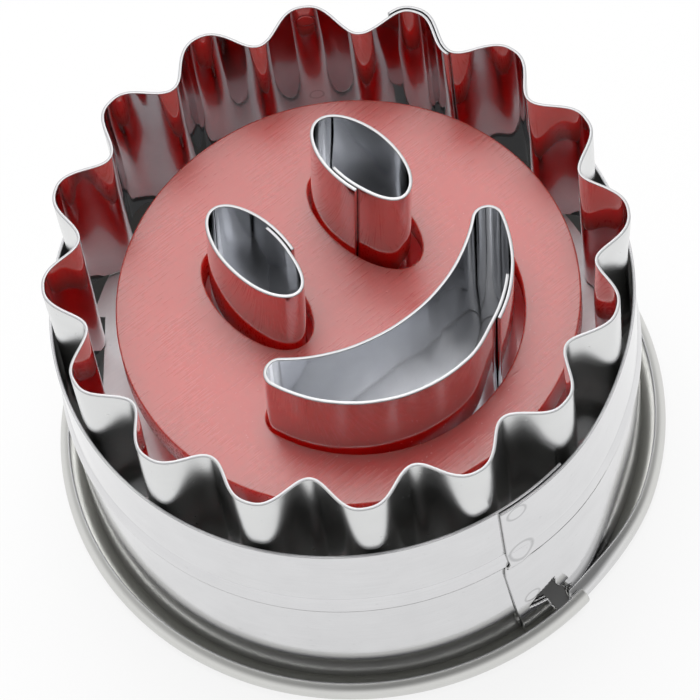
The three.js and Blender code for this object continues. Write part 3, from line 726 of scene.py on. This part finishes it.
# %% Section of the sleeve
SLEEVE_SHEET, SLEEVE_OUTER = 0.25, 24.45
BEAD_BOTTOM, BEAD_HEIGHT, BEAD_DEPTH = 13.8, 2.0, 0.28
GROOVE_DEPTH, GROOVE_WIDTH = 0.05, 0.08
CURL_RADIUS, CURL_MIDDLE, CURL_HEIGHT, CURL_TURN = 1.15, 25.35, 1.15, 258
CURL_INNER = CURL_RADIUS - SLEEVE_SHEET
wall_length = SLEEVE_TOP - CURL_HEIGHT
strip_width = wall_length + CURL_INNER * math.radians(CURL_TURN)


def sleeve_face(place, bead):
    """Outer face of the sleeve and its normal, by the distance from the top edge along the face.

    Wall at a fixed radius with a bead of sin(pi * share ** 0.5) and a fine groove along its top, then an arc
    about the curl's middle. The normal points to the free side: outwards on the wall, to the middle in the
    curl."""
    height = SLEEVE_TOP - place
    share = np.clip((height - BEAD_BOTTOM) / BEAD_HEIGHT, 0, 1)
    radius = SLEEVE_OUTER + bead * BEAD_DEPTH * np.sin(np.pi * np.sqrt(share))
    radius = radius - GROOVE_DEPTH * bead * bell(height, BEAD_BOTTOM + BEAD_HEIGHT, GROOVE_WIDTH)
    angle = np.pi + np.clip((place - wall_length) / CURL_INNER, 0, None)
    curled = place > wall_length
    r = np.where(curled, CURL_MIDDLE + CURL_INNER * np.cos(angle), radius)
    z = np.where(curled, CURL_HEIGHT + CURL_INNER * np.sin(angle), height)
    return r, z, np.where(curled, -np.cos(angle), 1.0), np.where(curled, -np.sin(angle), 0.0)


bead_rows = SLEEVE_TOP - (BEAD_BOTTOM + BEAD_HEIGHT * np.concatenate(
    [np.linspace(1.1, 0.9, 9), np.linspace(0.9, 0, 12)[1:] ** 1.5]))
sleeve_rows = np.concatenate([
    np.linspace(0.4, bead_rows[0] - 0.3, 9), bead_rows, np.linspace(bead_rows[-1] + 0.3, 16.2, 6),
    np.linspace(16.6, wall_length - 0.15, 34), np.linspace(wall_length, strip_width - 0.2, 30)])
inset, place, cut = strip_section(SLEEVE_SHEET, 0.0, strip_width, sleeve_rows)
print("sleeve strip is", round(strip_width, 2), "mm wide, section of", len(place), "points")

# %% [markdown]
# ## Seam of the sleeve
#
# The strip runs a little past one full turn, so its end lies over its start. The end could be a separate flap,
# but one strip keeps the brushed lines running on. The end isn't cut straight: it steps at the bead. Near the
# lap the bead is pressed flat, and the curl's lip is pinched in just before it.

# %% Sleeve strip with its seam
SEAM_START, SEAM_END = -82.4, 375.5
PINCH_DEPTH, BEAD_LOST = 0.66, 0.7
turned_by = np.unique(np.concatenate([
    np.linspace(0, 9, 46), np.linspace(9, 18, 19), np.linspace(18, 330, 209), np.linspace(330, 360, 61),
    np.linspace(360, SEAM_END, 78)]))
flap_end = np.interp(place, [0, 8, 9, 10.2, 18.4, 21, strip_width],
                     [375.7, 375.2, 375.0, 376.2, 374.4, 373.4, 373.1])
s = turned_by[:, None] + (flap_end - SEAM_END) * smoothstep(turned_by, 366, SEAM_END)[:, None]
p = np.broadcast_to(place, s.shape)
bead = 1 - BEAD_LOST * smoothstep(s, 335, 352) * (1 - smoothstep(s, 369.5, 372.5))
r, z, out_r, out_z = sleeve_face(p, bead)
pinch = smoothstep(s, 336, 357) * (1 - smoothstep(s, 361.5, 363.5))
lip = smoothstep(p, wall_length + 1.9, strip_width)
r = r - pinch * lip * (PINCH_DEPTH + 0.06 * np.sin(0.32 * s))
z = z + pinch * lip * 0.05 * np.sin(0.4 * s)
lift = (SLEEVE_SHEET + LAP_GAP) * smoothstep(s, 334, 360) - inset
r, z = r + out_r * lift, z + out_z * lift
angle = np.radians(SEAM_START - s)
points = np.dstack([r * np.cos(angle), r * np.sin(angle), z])
print("seam of", points.shape[0], "by", points.shape[1], "points")

# %% [markdown]
# ## Tear
#
# At the foot of the seam the sheet is torn open, and the dark inside shows: the floor seen through it is painted
# dark under the rim as painted shade. A Boolean could cut the hole, but it leaves thin slivers. Here the quads
# inside a drawn star are left out of both faces of the sheet, and short walls join the two faces round the hole.

# %% Tear at the foot of the seam
TEAR_BEARING, TEAR_PLACE = 4.0, 21.2


def inside(x, y, corners):
    """True where a point lies in a polygon: a level ray from it crosses the outline an odd number of times."""
    odd = np.zeros(x.shape, bool)
    for (x0, y0), (x1, y1) in zip(corners, corners[1:] + corners[:1]):
        crosses = (y0 > y) != (y1 > y)
        odd ^= crosses & (x < x0 + (x1 - x0) * (y - y0) / (y1 - y0 if y1 != y0 else 1))
    return odd


def holed_strip(rows, size, gone):
    """Faces of a strip of section loops with a hole through both skins.

    A quad that is gone leaves the front and its twin leaves the back. Where it met a quad that stays, a wall
    joins the two skins: the edge from a to b, then the twins of b and a."""
    half = size // 2
    skin = quads(rows, size, wrap_columns=True).reshape(rows - 1, size, 4)
    keep = np.ones((rows - 1, size), bool)
    keep[:, :half - 1] &= ~gone
    keep[:, half:size - 1] &= ~gone[:, ::-1]
    framed = np.pad(gone, 1)
    front = skin[:, :half - 1]
    sides = [(framed[1:-1, :-2], 0, 1), (framed[2:, 1:-1], 1, 2),
             (framed[1:-1, 2:], 2, 3), (framed[:-2, 1:-1], 3, 0)]
    walls = []
    for beside, first, second in sides:
        border = gone & ~beside
        a, b = front[border][:, first], front[border][:, second]
        twin_a, twin_b = (n // size * size + size - 1 - n % size for n in (a, b))
        walls.append(np.stack([a, b, twin_b, twin_a], -1))
    ends = [rungs(0, size, False), rungs((rows - 1) * size, size, True)]
    return [skin[keep], np.concatenate(walls)] + ends


size = len(place)
half = size // 2
middle_s = (turned_by[1:] + turned_by[:-1])[:, None] / 2
middle_p = ((place[1:half] + place[:half - 1]) / 2)[None, :]
across = -((middle_s + 180) % 360 - 180 - TEAR_BEARING) * math.radians(1) * SLEEVE_OUTER
tear = [(-3.7, -2.3), (-2.3, -3.5), (-1.2, -4.0), (-0.45, -4.3), (-0.3, -2.7), (0.45, -1.05), (1.35, -0.35),
        (1.0, 1.2), (0.95, 3.1), (-0.3, 3.3), (-0.75, 0.9), (-1.4, -1.4)]
gone = inside(*np.broadcast_arrays(across, middle_p - TEAR_PLACE), tear)
faces = holed_strip(len(turned_by), size, gone)
used, numbers = np.unique(np.concatenate([f.ravel() for f in faces]), return_inverse=True)
cuts = np.cumsum([f.size for f in faces])[:-1]
faces = [part.reshape(-1, 4) for part in np.split(numbers, cuts)]
girth = np.concatenate([[0], np.cumsum(np.hypot(np.diff(inset), np.diff(place)))])
uv = np.dstack([-np.radians(s) * SLEEVE_OUTER, np.broadcast_to(girth, s.shape)])
curled = smoothstep(p, wall_length - 0.3, wall_length + 0.1) * (1 - 0.8 * pinch)
matt = curled * np.where(inset > SLEEVE_SHEET / 2, 0.75, 1.0)
matt = np.maximum(matt, 0.7 * (inset > SLEEVE_SHEET / 2) * (p < wall_length))
columns = [np.broadcast_to(cut, s.shape), matt]
make_piece("sleeve_strip", points.reshape(-1, 3)[used], faces, satin_sheet, "cutter_body", "outer_sleeve",
           "satin_sheet", uv.reshape(-1, 2)[used], *[column.reshape(-1)[used] for column in columns])
print("quads torn away:", int(gone.sum()))

# %% [markdown]
# ## Ejector plate
#
# The plate is a moulding: a disc with three holes that clear the cutters, every edge a little rounded. Rounded
# edges could come from a Bevel modifier, but on an outline with long thin faces that folds. Here a rounded
# profile is carried along each outline, and the flats between the outlines are filled with triangles.

# %% Plate with rounded edges
PLATE_TOP, PLATE_RADIUS, PLATE_CENTRE = 23.4, 19.4, (0.28, -0.50)
TOP_ROUND, LOW_ROUND = 0.14, 0.12


def edge_ribbon(outline, steps, side):
    """Rounded edge carried along an outline: point = outline + side * outward * set-back, at a height.

    The profile runs up from the lower flat to the upper one; side is -1 for the rim and 1 for a hole."""
    a = np.linspace(0, np.pi / 2, 7)
    back = np.concatenate([[LOW_ROUND + 0.08], LOW_ROUND * (1 - np.sin(a)), [0, 0, 0, 0],
                           TOP_ROUND * (1 - np.cos(a)), [TOP_ROUND + 0.08]])
    height = np.concatenate([[PLATE_BOTTOM], PLATE_BOTTOM + LOW_ROUND * (1 - np.cos(a)),
                             np.linspace(PLATE_BOTTOM + LOW_ROUND + 0.08, PLATE_TOP - TOP_ROUND - 0.08, 4),
                             PLATE_TOP - TOP_ROUND * (1 - np.sin(a)), [PLATE_TOP]])
    share = np.linspace(0, 1, steps, endpoint=False)
    flat = outline(share)[:, None, :] + side * outward_of(outline, share)[:, None, :] * back[:, None]
    points = np.dstack([flat, np.broadcast_to(height, flat.shape[:2])])
    faces = quads(steps, len(back), wrap_rows=True)
    return points, faces if side < 0 else faces[:, ::-1]


def flat_fill(loops, facing):
    """Triangles between an outer loop and its holes, as numbers into the joined loops, all facing one way."""
    joined = np.concatenate(loops)
    corners = np.array(tessellate_polygon([[Vector(q) for q in loop] for loop in loops]))
    a, b, c = joined[corners[:, 0]], joined[corners[:, 1]], joined[corners[:, 2]]
    turn = np.cross((b - a)[:, :2], (c - a)[:, :2])
    corners[turn * facing < 0] = corners[turn * facing < 0][:, ::-1]
    return corners[np.abs(turn) > 1e-9]


def circle_outline(radius, centre):
    """Circle of that radius about a centre."""
    def outline(share):
        angle = 2 * np.pi * share
        return radius * np.stack([np.cos(angle), np.sin(angle)], -1) + np.asarray(centre)
    return outline


left_hole = eye_outline((-5.33, 4.57), 3.24, 6.10, 1.2)
right_hole = eye_outline((6.20, 4.40), 3.12, 6.20, 4.1)
edges = [(circle_outline(PLATE_RADIUS, PLATE_CENTRE), 360, -1), (left_hole, 200, 1), (right_hole, 200, 1),
         (mouth_outline(0.65), 480, 1)]
ribbons = [edge_ribbon(*one) for one in edges]
counts = [len(points) * points.shape[1] for points, faces in ribbons]
first = np.concatenate([[0], np.cumsum(counts)])
plate_points = [points.reshape(-1, 3) for points, faces in ribbons]
plate_faces = [faces + begin for (points, faces), begin in zip(ribbons, first)]
for column, facing in ((0, -1), (-1, 1)):
    loops = [points[:, column] for points, faces in ribbons]
    numbers = [begin + np.arange(len(points)) * points.shape[1] + column % points.shape[1]
               for (points, faces), begin in zip(ribbons, first)]
    plate_faces.append(np.concatenate(numbers)[flat_fill(loops, facing)])
print("plate outlines:", len(ribbons), "points:", int(first[-1]))

# %% [markdown]
# ## Stem and pegs
#
# Under the plate a stem with a collar runs through the carrier to the knob, and three pegs stop the plate before
# it meets the carrier. They are turned shapes, sunk a little into the plate. They could be merged with it, but
# sunk shapes look the same and keep the plate's flats clean.

# %% Stem and pegs under the plate
SUNK, PEG_RADIUS, PEG_INSET, PEG_ROOM = 0.4, 1.8, 5.2, 3.0


def turned_shape(profile, steps, x=0.0, y=0.0):
    """Surface of revolution of a profile of (radius, height) that starts and ends on the axis.

    Point = (x + r cos a, y + r sin a, h). The two ends are single points with a fan of triangles."""
    profile = np.asarray(profile, float)
    a = np.linspace(0, 2 * np.pi, steps, endpoint=False)[:, None]
    r, h = profile[1:-1, 0], profile[1:-1, 1]
    rings = np.dstack([x + r * np.cos(a), y + r * np.sin(a), np.broadcast_to(h, (steps, len(h)))])
    ends = np.array([[x, y, profile[0, 1]], [x, y, profile[-1, 1]]])
    count = steps * len(h)
    start = np.arange(steps) * len(h)
    after = np.roll(start, -1)
    low = np.stack([np.full(steps, count), after, start], -1)
    high = np.stack([np.full(steps, count + 1), start + len(h) - 1, after + len(h) - 1], -1)
    return np.concatenate([rings.reshape(-1, 3), ends]), [quads(steps, len(h), wrap_rows=True), low, high]


def rounded_profile(corners, radius, steps=5):
    """Profile with each inner corner cut by a curve: the quadratic curve from before the corner to after it."""
    corners = np.asarray(corners, float)
    before, middle, after = corners[:-2], corners[1:-1], corners[2:]
    to_before, to_after = before - middle, after - middle
    reach_before = np.minimum(radius, np.linalg.norm(to_before, axis=1) / 2.2)
    reach_after = np.minimum(radius, np.linalg.norm(to_after, axis=1) / 2.2)
    start = middle + to_before / np.linalg.norm(to_before, axis=1, keepdims=True) * reach_before[:, None]
    end = middle + to_after / np.linalg.norm(to_after, axis=1, keepdims=True) * reach_after[:, None]
    t = np.linspace(0, 1, steps)[None, :, None]
    curve = (1 - t) ** 2 * start[:, None] + 2 * t * (1 - t) * middle[:, None] + t ** 2 * end[:, None]
    return np.concatenate([corners[:1], curve.reshape(-1, 2), corners[-1:]])


def add_shape(points, faces):
    """Adds a closed shape to the plate's mesh."""
    begin = sum(len(block) for block in plate_points)
    plate_points.append(points)
    plate_faces.extend(block + begin for block in faces)


stem = rounded_profile([(0, 10.9), (1.25, 10.9), (1.25, 4.3), (2.2, 4.3), (2.2, PLATE_BOTTOM + SUNK),
                        (0, PLATE_BOTTOM + SUNK)], 0.2)
add_shape(*turned_shape(stem, 64))
peg_circle = PLATE_RADIUS - PEG_INSET
peg_spread = (MOUTH_TIP + PEG_ROOM + PEG_RADIUS) / peg_circle
peg_angles = [math.atan2(tip_y, MOTIF_SHIFT + tip_side) + peg_spread, math.radians(87),
              math.atan2(tip_y, MOTIF_SHIFT - tip_side) - peg_spread]
peg = rounded_profile([(0, 13.8), (PEG_RADIUS, 13.8), (PEG_RADIUS, PLATE_BOTTOM + SUNK),
                       (0, PLATE_BOTTOM + SUNK)], 0.2)
for angle in peg_angles:
    add_shape(*turned_shape(peg, 48, peg_circle * math.cos(angle), peg_circle * math.sin(angle)))
make_piece("ejector_moulding", np.concatenate(plate_points), plate_faces, red_plastic, "plunger",
           "ejector_plate", "red_plastic")

# %% [markdown]
# ## Knob
#
# The picture doesn't show the back. Such cutters have a round thumb knob of the same plastic with a shallow dish
# for the thumb, hollow behind. A Screw modifier could turn its profile, but here the corners are rounded first
# and the profile is turned as a closed ring.


# %% Knob
def closed_turning(corners, steps, radius):
    """Ring of revolution of a closed profile with rounded corners, both directions joined end to start."""
    corners = np.asarray(corners, float)
    profile = rounded_profile(np.concatenate([corners[-1:], corners, corners[:1]]), radius)[1:-1]
    a = np.linspace(0, 2 * np.pi, steps, endpoint=False)[:, None]
    points = np.dstack([profile[:, 0] * np.cos(a), profile[:, 0] * np.sin(a),
                        np.broadcast_to(profile[:, 1], (steps, len(profile)))])
    return points, [quads(steps, len(profile), wrap_rows=True, wrap_columns=True)]


DISH_EDGE, DISH_DEPTH = 9.4, 0.9
dish_radius = np.linspace(2.5, DISH_EDGE, 16)
dish = np.stack([dish_radius, 0.8 + DISH_DEPTH * (1 - (dish_radius / DISH_EDGE) ** 2)], -1)
knob_corners = np.concatenate([[(2.5, 2.9)], dish, [
    (10.4, 0.8), (11.0, 1.4), (11.0, 5.0), (9.4, 5.0), (9.4, 2.4), (3.0, 2.4), (3.0, 4.0), (1.25, 4.0),
    (1.25, 2.9)]])
points, faces = closed_turning(knob_corners, 160, 0.25)
make_piece("thumb_knob", points, faces, red_plastic, "plunger", "push_knob", "red_plastic")

# %% [markdown]
# ## Screw
#
# A small pan-head screw holds the knob to the stem. Its head could be cut by a Boolean cross, but a dip added to
# the heights of a finely divided head gives the same recess with soft edges.

# %% Screw with a cross recess
RECESS_DEPTH, ARM_LENGTH, ARM_HALF_WIDTH = 0.7, 1.05, 0.22
head = rounded_profile([(0, 1.4), (1.0, 1.4), (1.6, 1.4), (2.2, 2.0), (2.2, 2.6), (0.95, 2.6), (0.95, 9.65),
                        (0, 10.6)], 0.25)
fine_crown = np.stack([np.linspace(0, 1.35, 28), np.full(28, 1.4)], -1)
screw_profile = np.concatenate([fine_crown, head[head[:, 0] > 1.4], head[-6:]])
points, faces = turned_shape(screw_profile, 120)
x, y = np.abs(points[:, 0]), np.abs(points[:, 1])
arm_x = (1 - smoothstep(x, ARM_LENGTH, 1.2)) * (1 - smoothstep(y, ARM_HALF_WIDTH, 0.32))
arm_y = (1 - smoothstep(y, ARM_LENGTH, 1.2)) * (1 - smoothstep(x, ARM_HALF_WIDTH, 0.32))
points[:, 2] += RECESS_DEPTH * np.maximum(arm_x, arm_y) * (points[:, 2] < 1.5)
make_piece("pan_screw", points, faces, spring_wire, "plunger", "knob_screw", "spring_steel", points[:, :2])

# %% [markdown]
# ## Spring
#
# A cone-shaped spring between the carrier and the knob brings the plate back. It is a round wire carried along a
# helix that narrows upwards, with a short bend at each end. A curve with a bevel could draw it, but a grid gives
# the wire's own UV map.

# %% Spring
WIRE, SPRING_LOW, SPRING_HIGH = 0.7, 2.7, 12.6
COIL_TURNS, COIL_WIDE, COIL_NARROW, COIL_LOW, COIL_RISE, BEND = 4.5, 8.65, 3.65, 4.2, 6.9, 0.8
share = np.linspace(0, 1, 4 * 64 + 33)
angle = 2 * np.pi * COIL_TURNS * share
radius = COIL_WIDE + (COIL_NARROW - COIL_WIDE) * share
helix = np.stack([radius * np.cos(angle), radius * np.sin(angle), COIL_LOW + COIL_RISE * share], -1)


def end_bend(tip, before, end_height):
    """Quarter turn from the helix's end to upright, and a straight stub to the end height."""
    along = (tip - before) * [1, 1, 0]
    along = BEND * along / np.linalg.norm(along)
    a = np.linspace(0, np.pi / 2, 9)[1:, None]
    turn = tip + along * np.sin(a)
    turn[:, 2:] += np.sign(end_height - tip[2]) * BEND * (1 - np.cos(a))
    stub = turn[-1] + (np.array([[0.0], [0.5], [1.0]]) * (end_height - turn[-1, 2])) * [0, 0, 1]
    return np.concatenate([turn[:-1], stub])


line = np.concatenate([end_bend(helix[0], helix[1], SPRING_LOW)[::-1], helix,
                       end_bend(helix[-1], helix[-2], SPRING_HIGH)])
ahead = np.gradient(line, axis=0)
ahead /= np.linalg.norm(ahead, axis=1, keepdims=True)
side = line * [1, 1, 0]
side -= ahead * (side * ahead).sum(1, keepdims=True)
side /= np.linalg.norm(side, axis=1, keepdims=True)
other = np.cross(ahead, side)
a = np.linspace(0, 2 * np.pi, 16, endpoint=False)[:, None]
points = line[:, None] + WIRE / 2 * (np.cos(a) * side[:, None] + np.sin(a) * other[:, None])
size = len(a)
faces = [quads(len(line), size, wrap_columns=True)[:, ::-1], rungs(0, size, True),
         rungs((len(line) - 1) * size, size, False)]
walked = np.concatenate([[0], np.cumsum(np.linalg.norm(np.diff(line, axis=0), axis=1))])
uv = np.dstack(np.broadcast_arrays(walked[:, None], WIRE / 2 * a[:, 0]))
spring = make_piece("coil_spring", points, faces, spring_wire, "cutter_body", "return_spring", "spring_steel", uv)
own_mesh(spring)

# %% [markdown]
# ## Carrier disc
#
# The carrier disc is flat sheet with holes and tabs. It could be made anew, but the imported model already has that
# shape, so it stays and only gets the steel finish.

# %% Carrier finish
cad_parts["carrier_plate"].material_slots[0].material = carrier_sheet
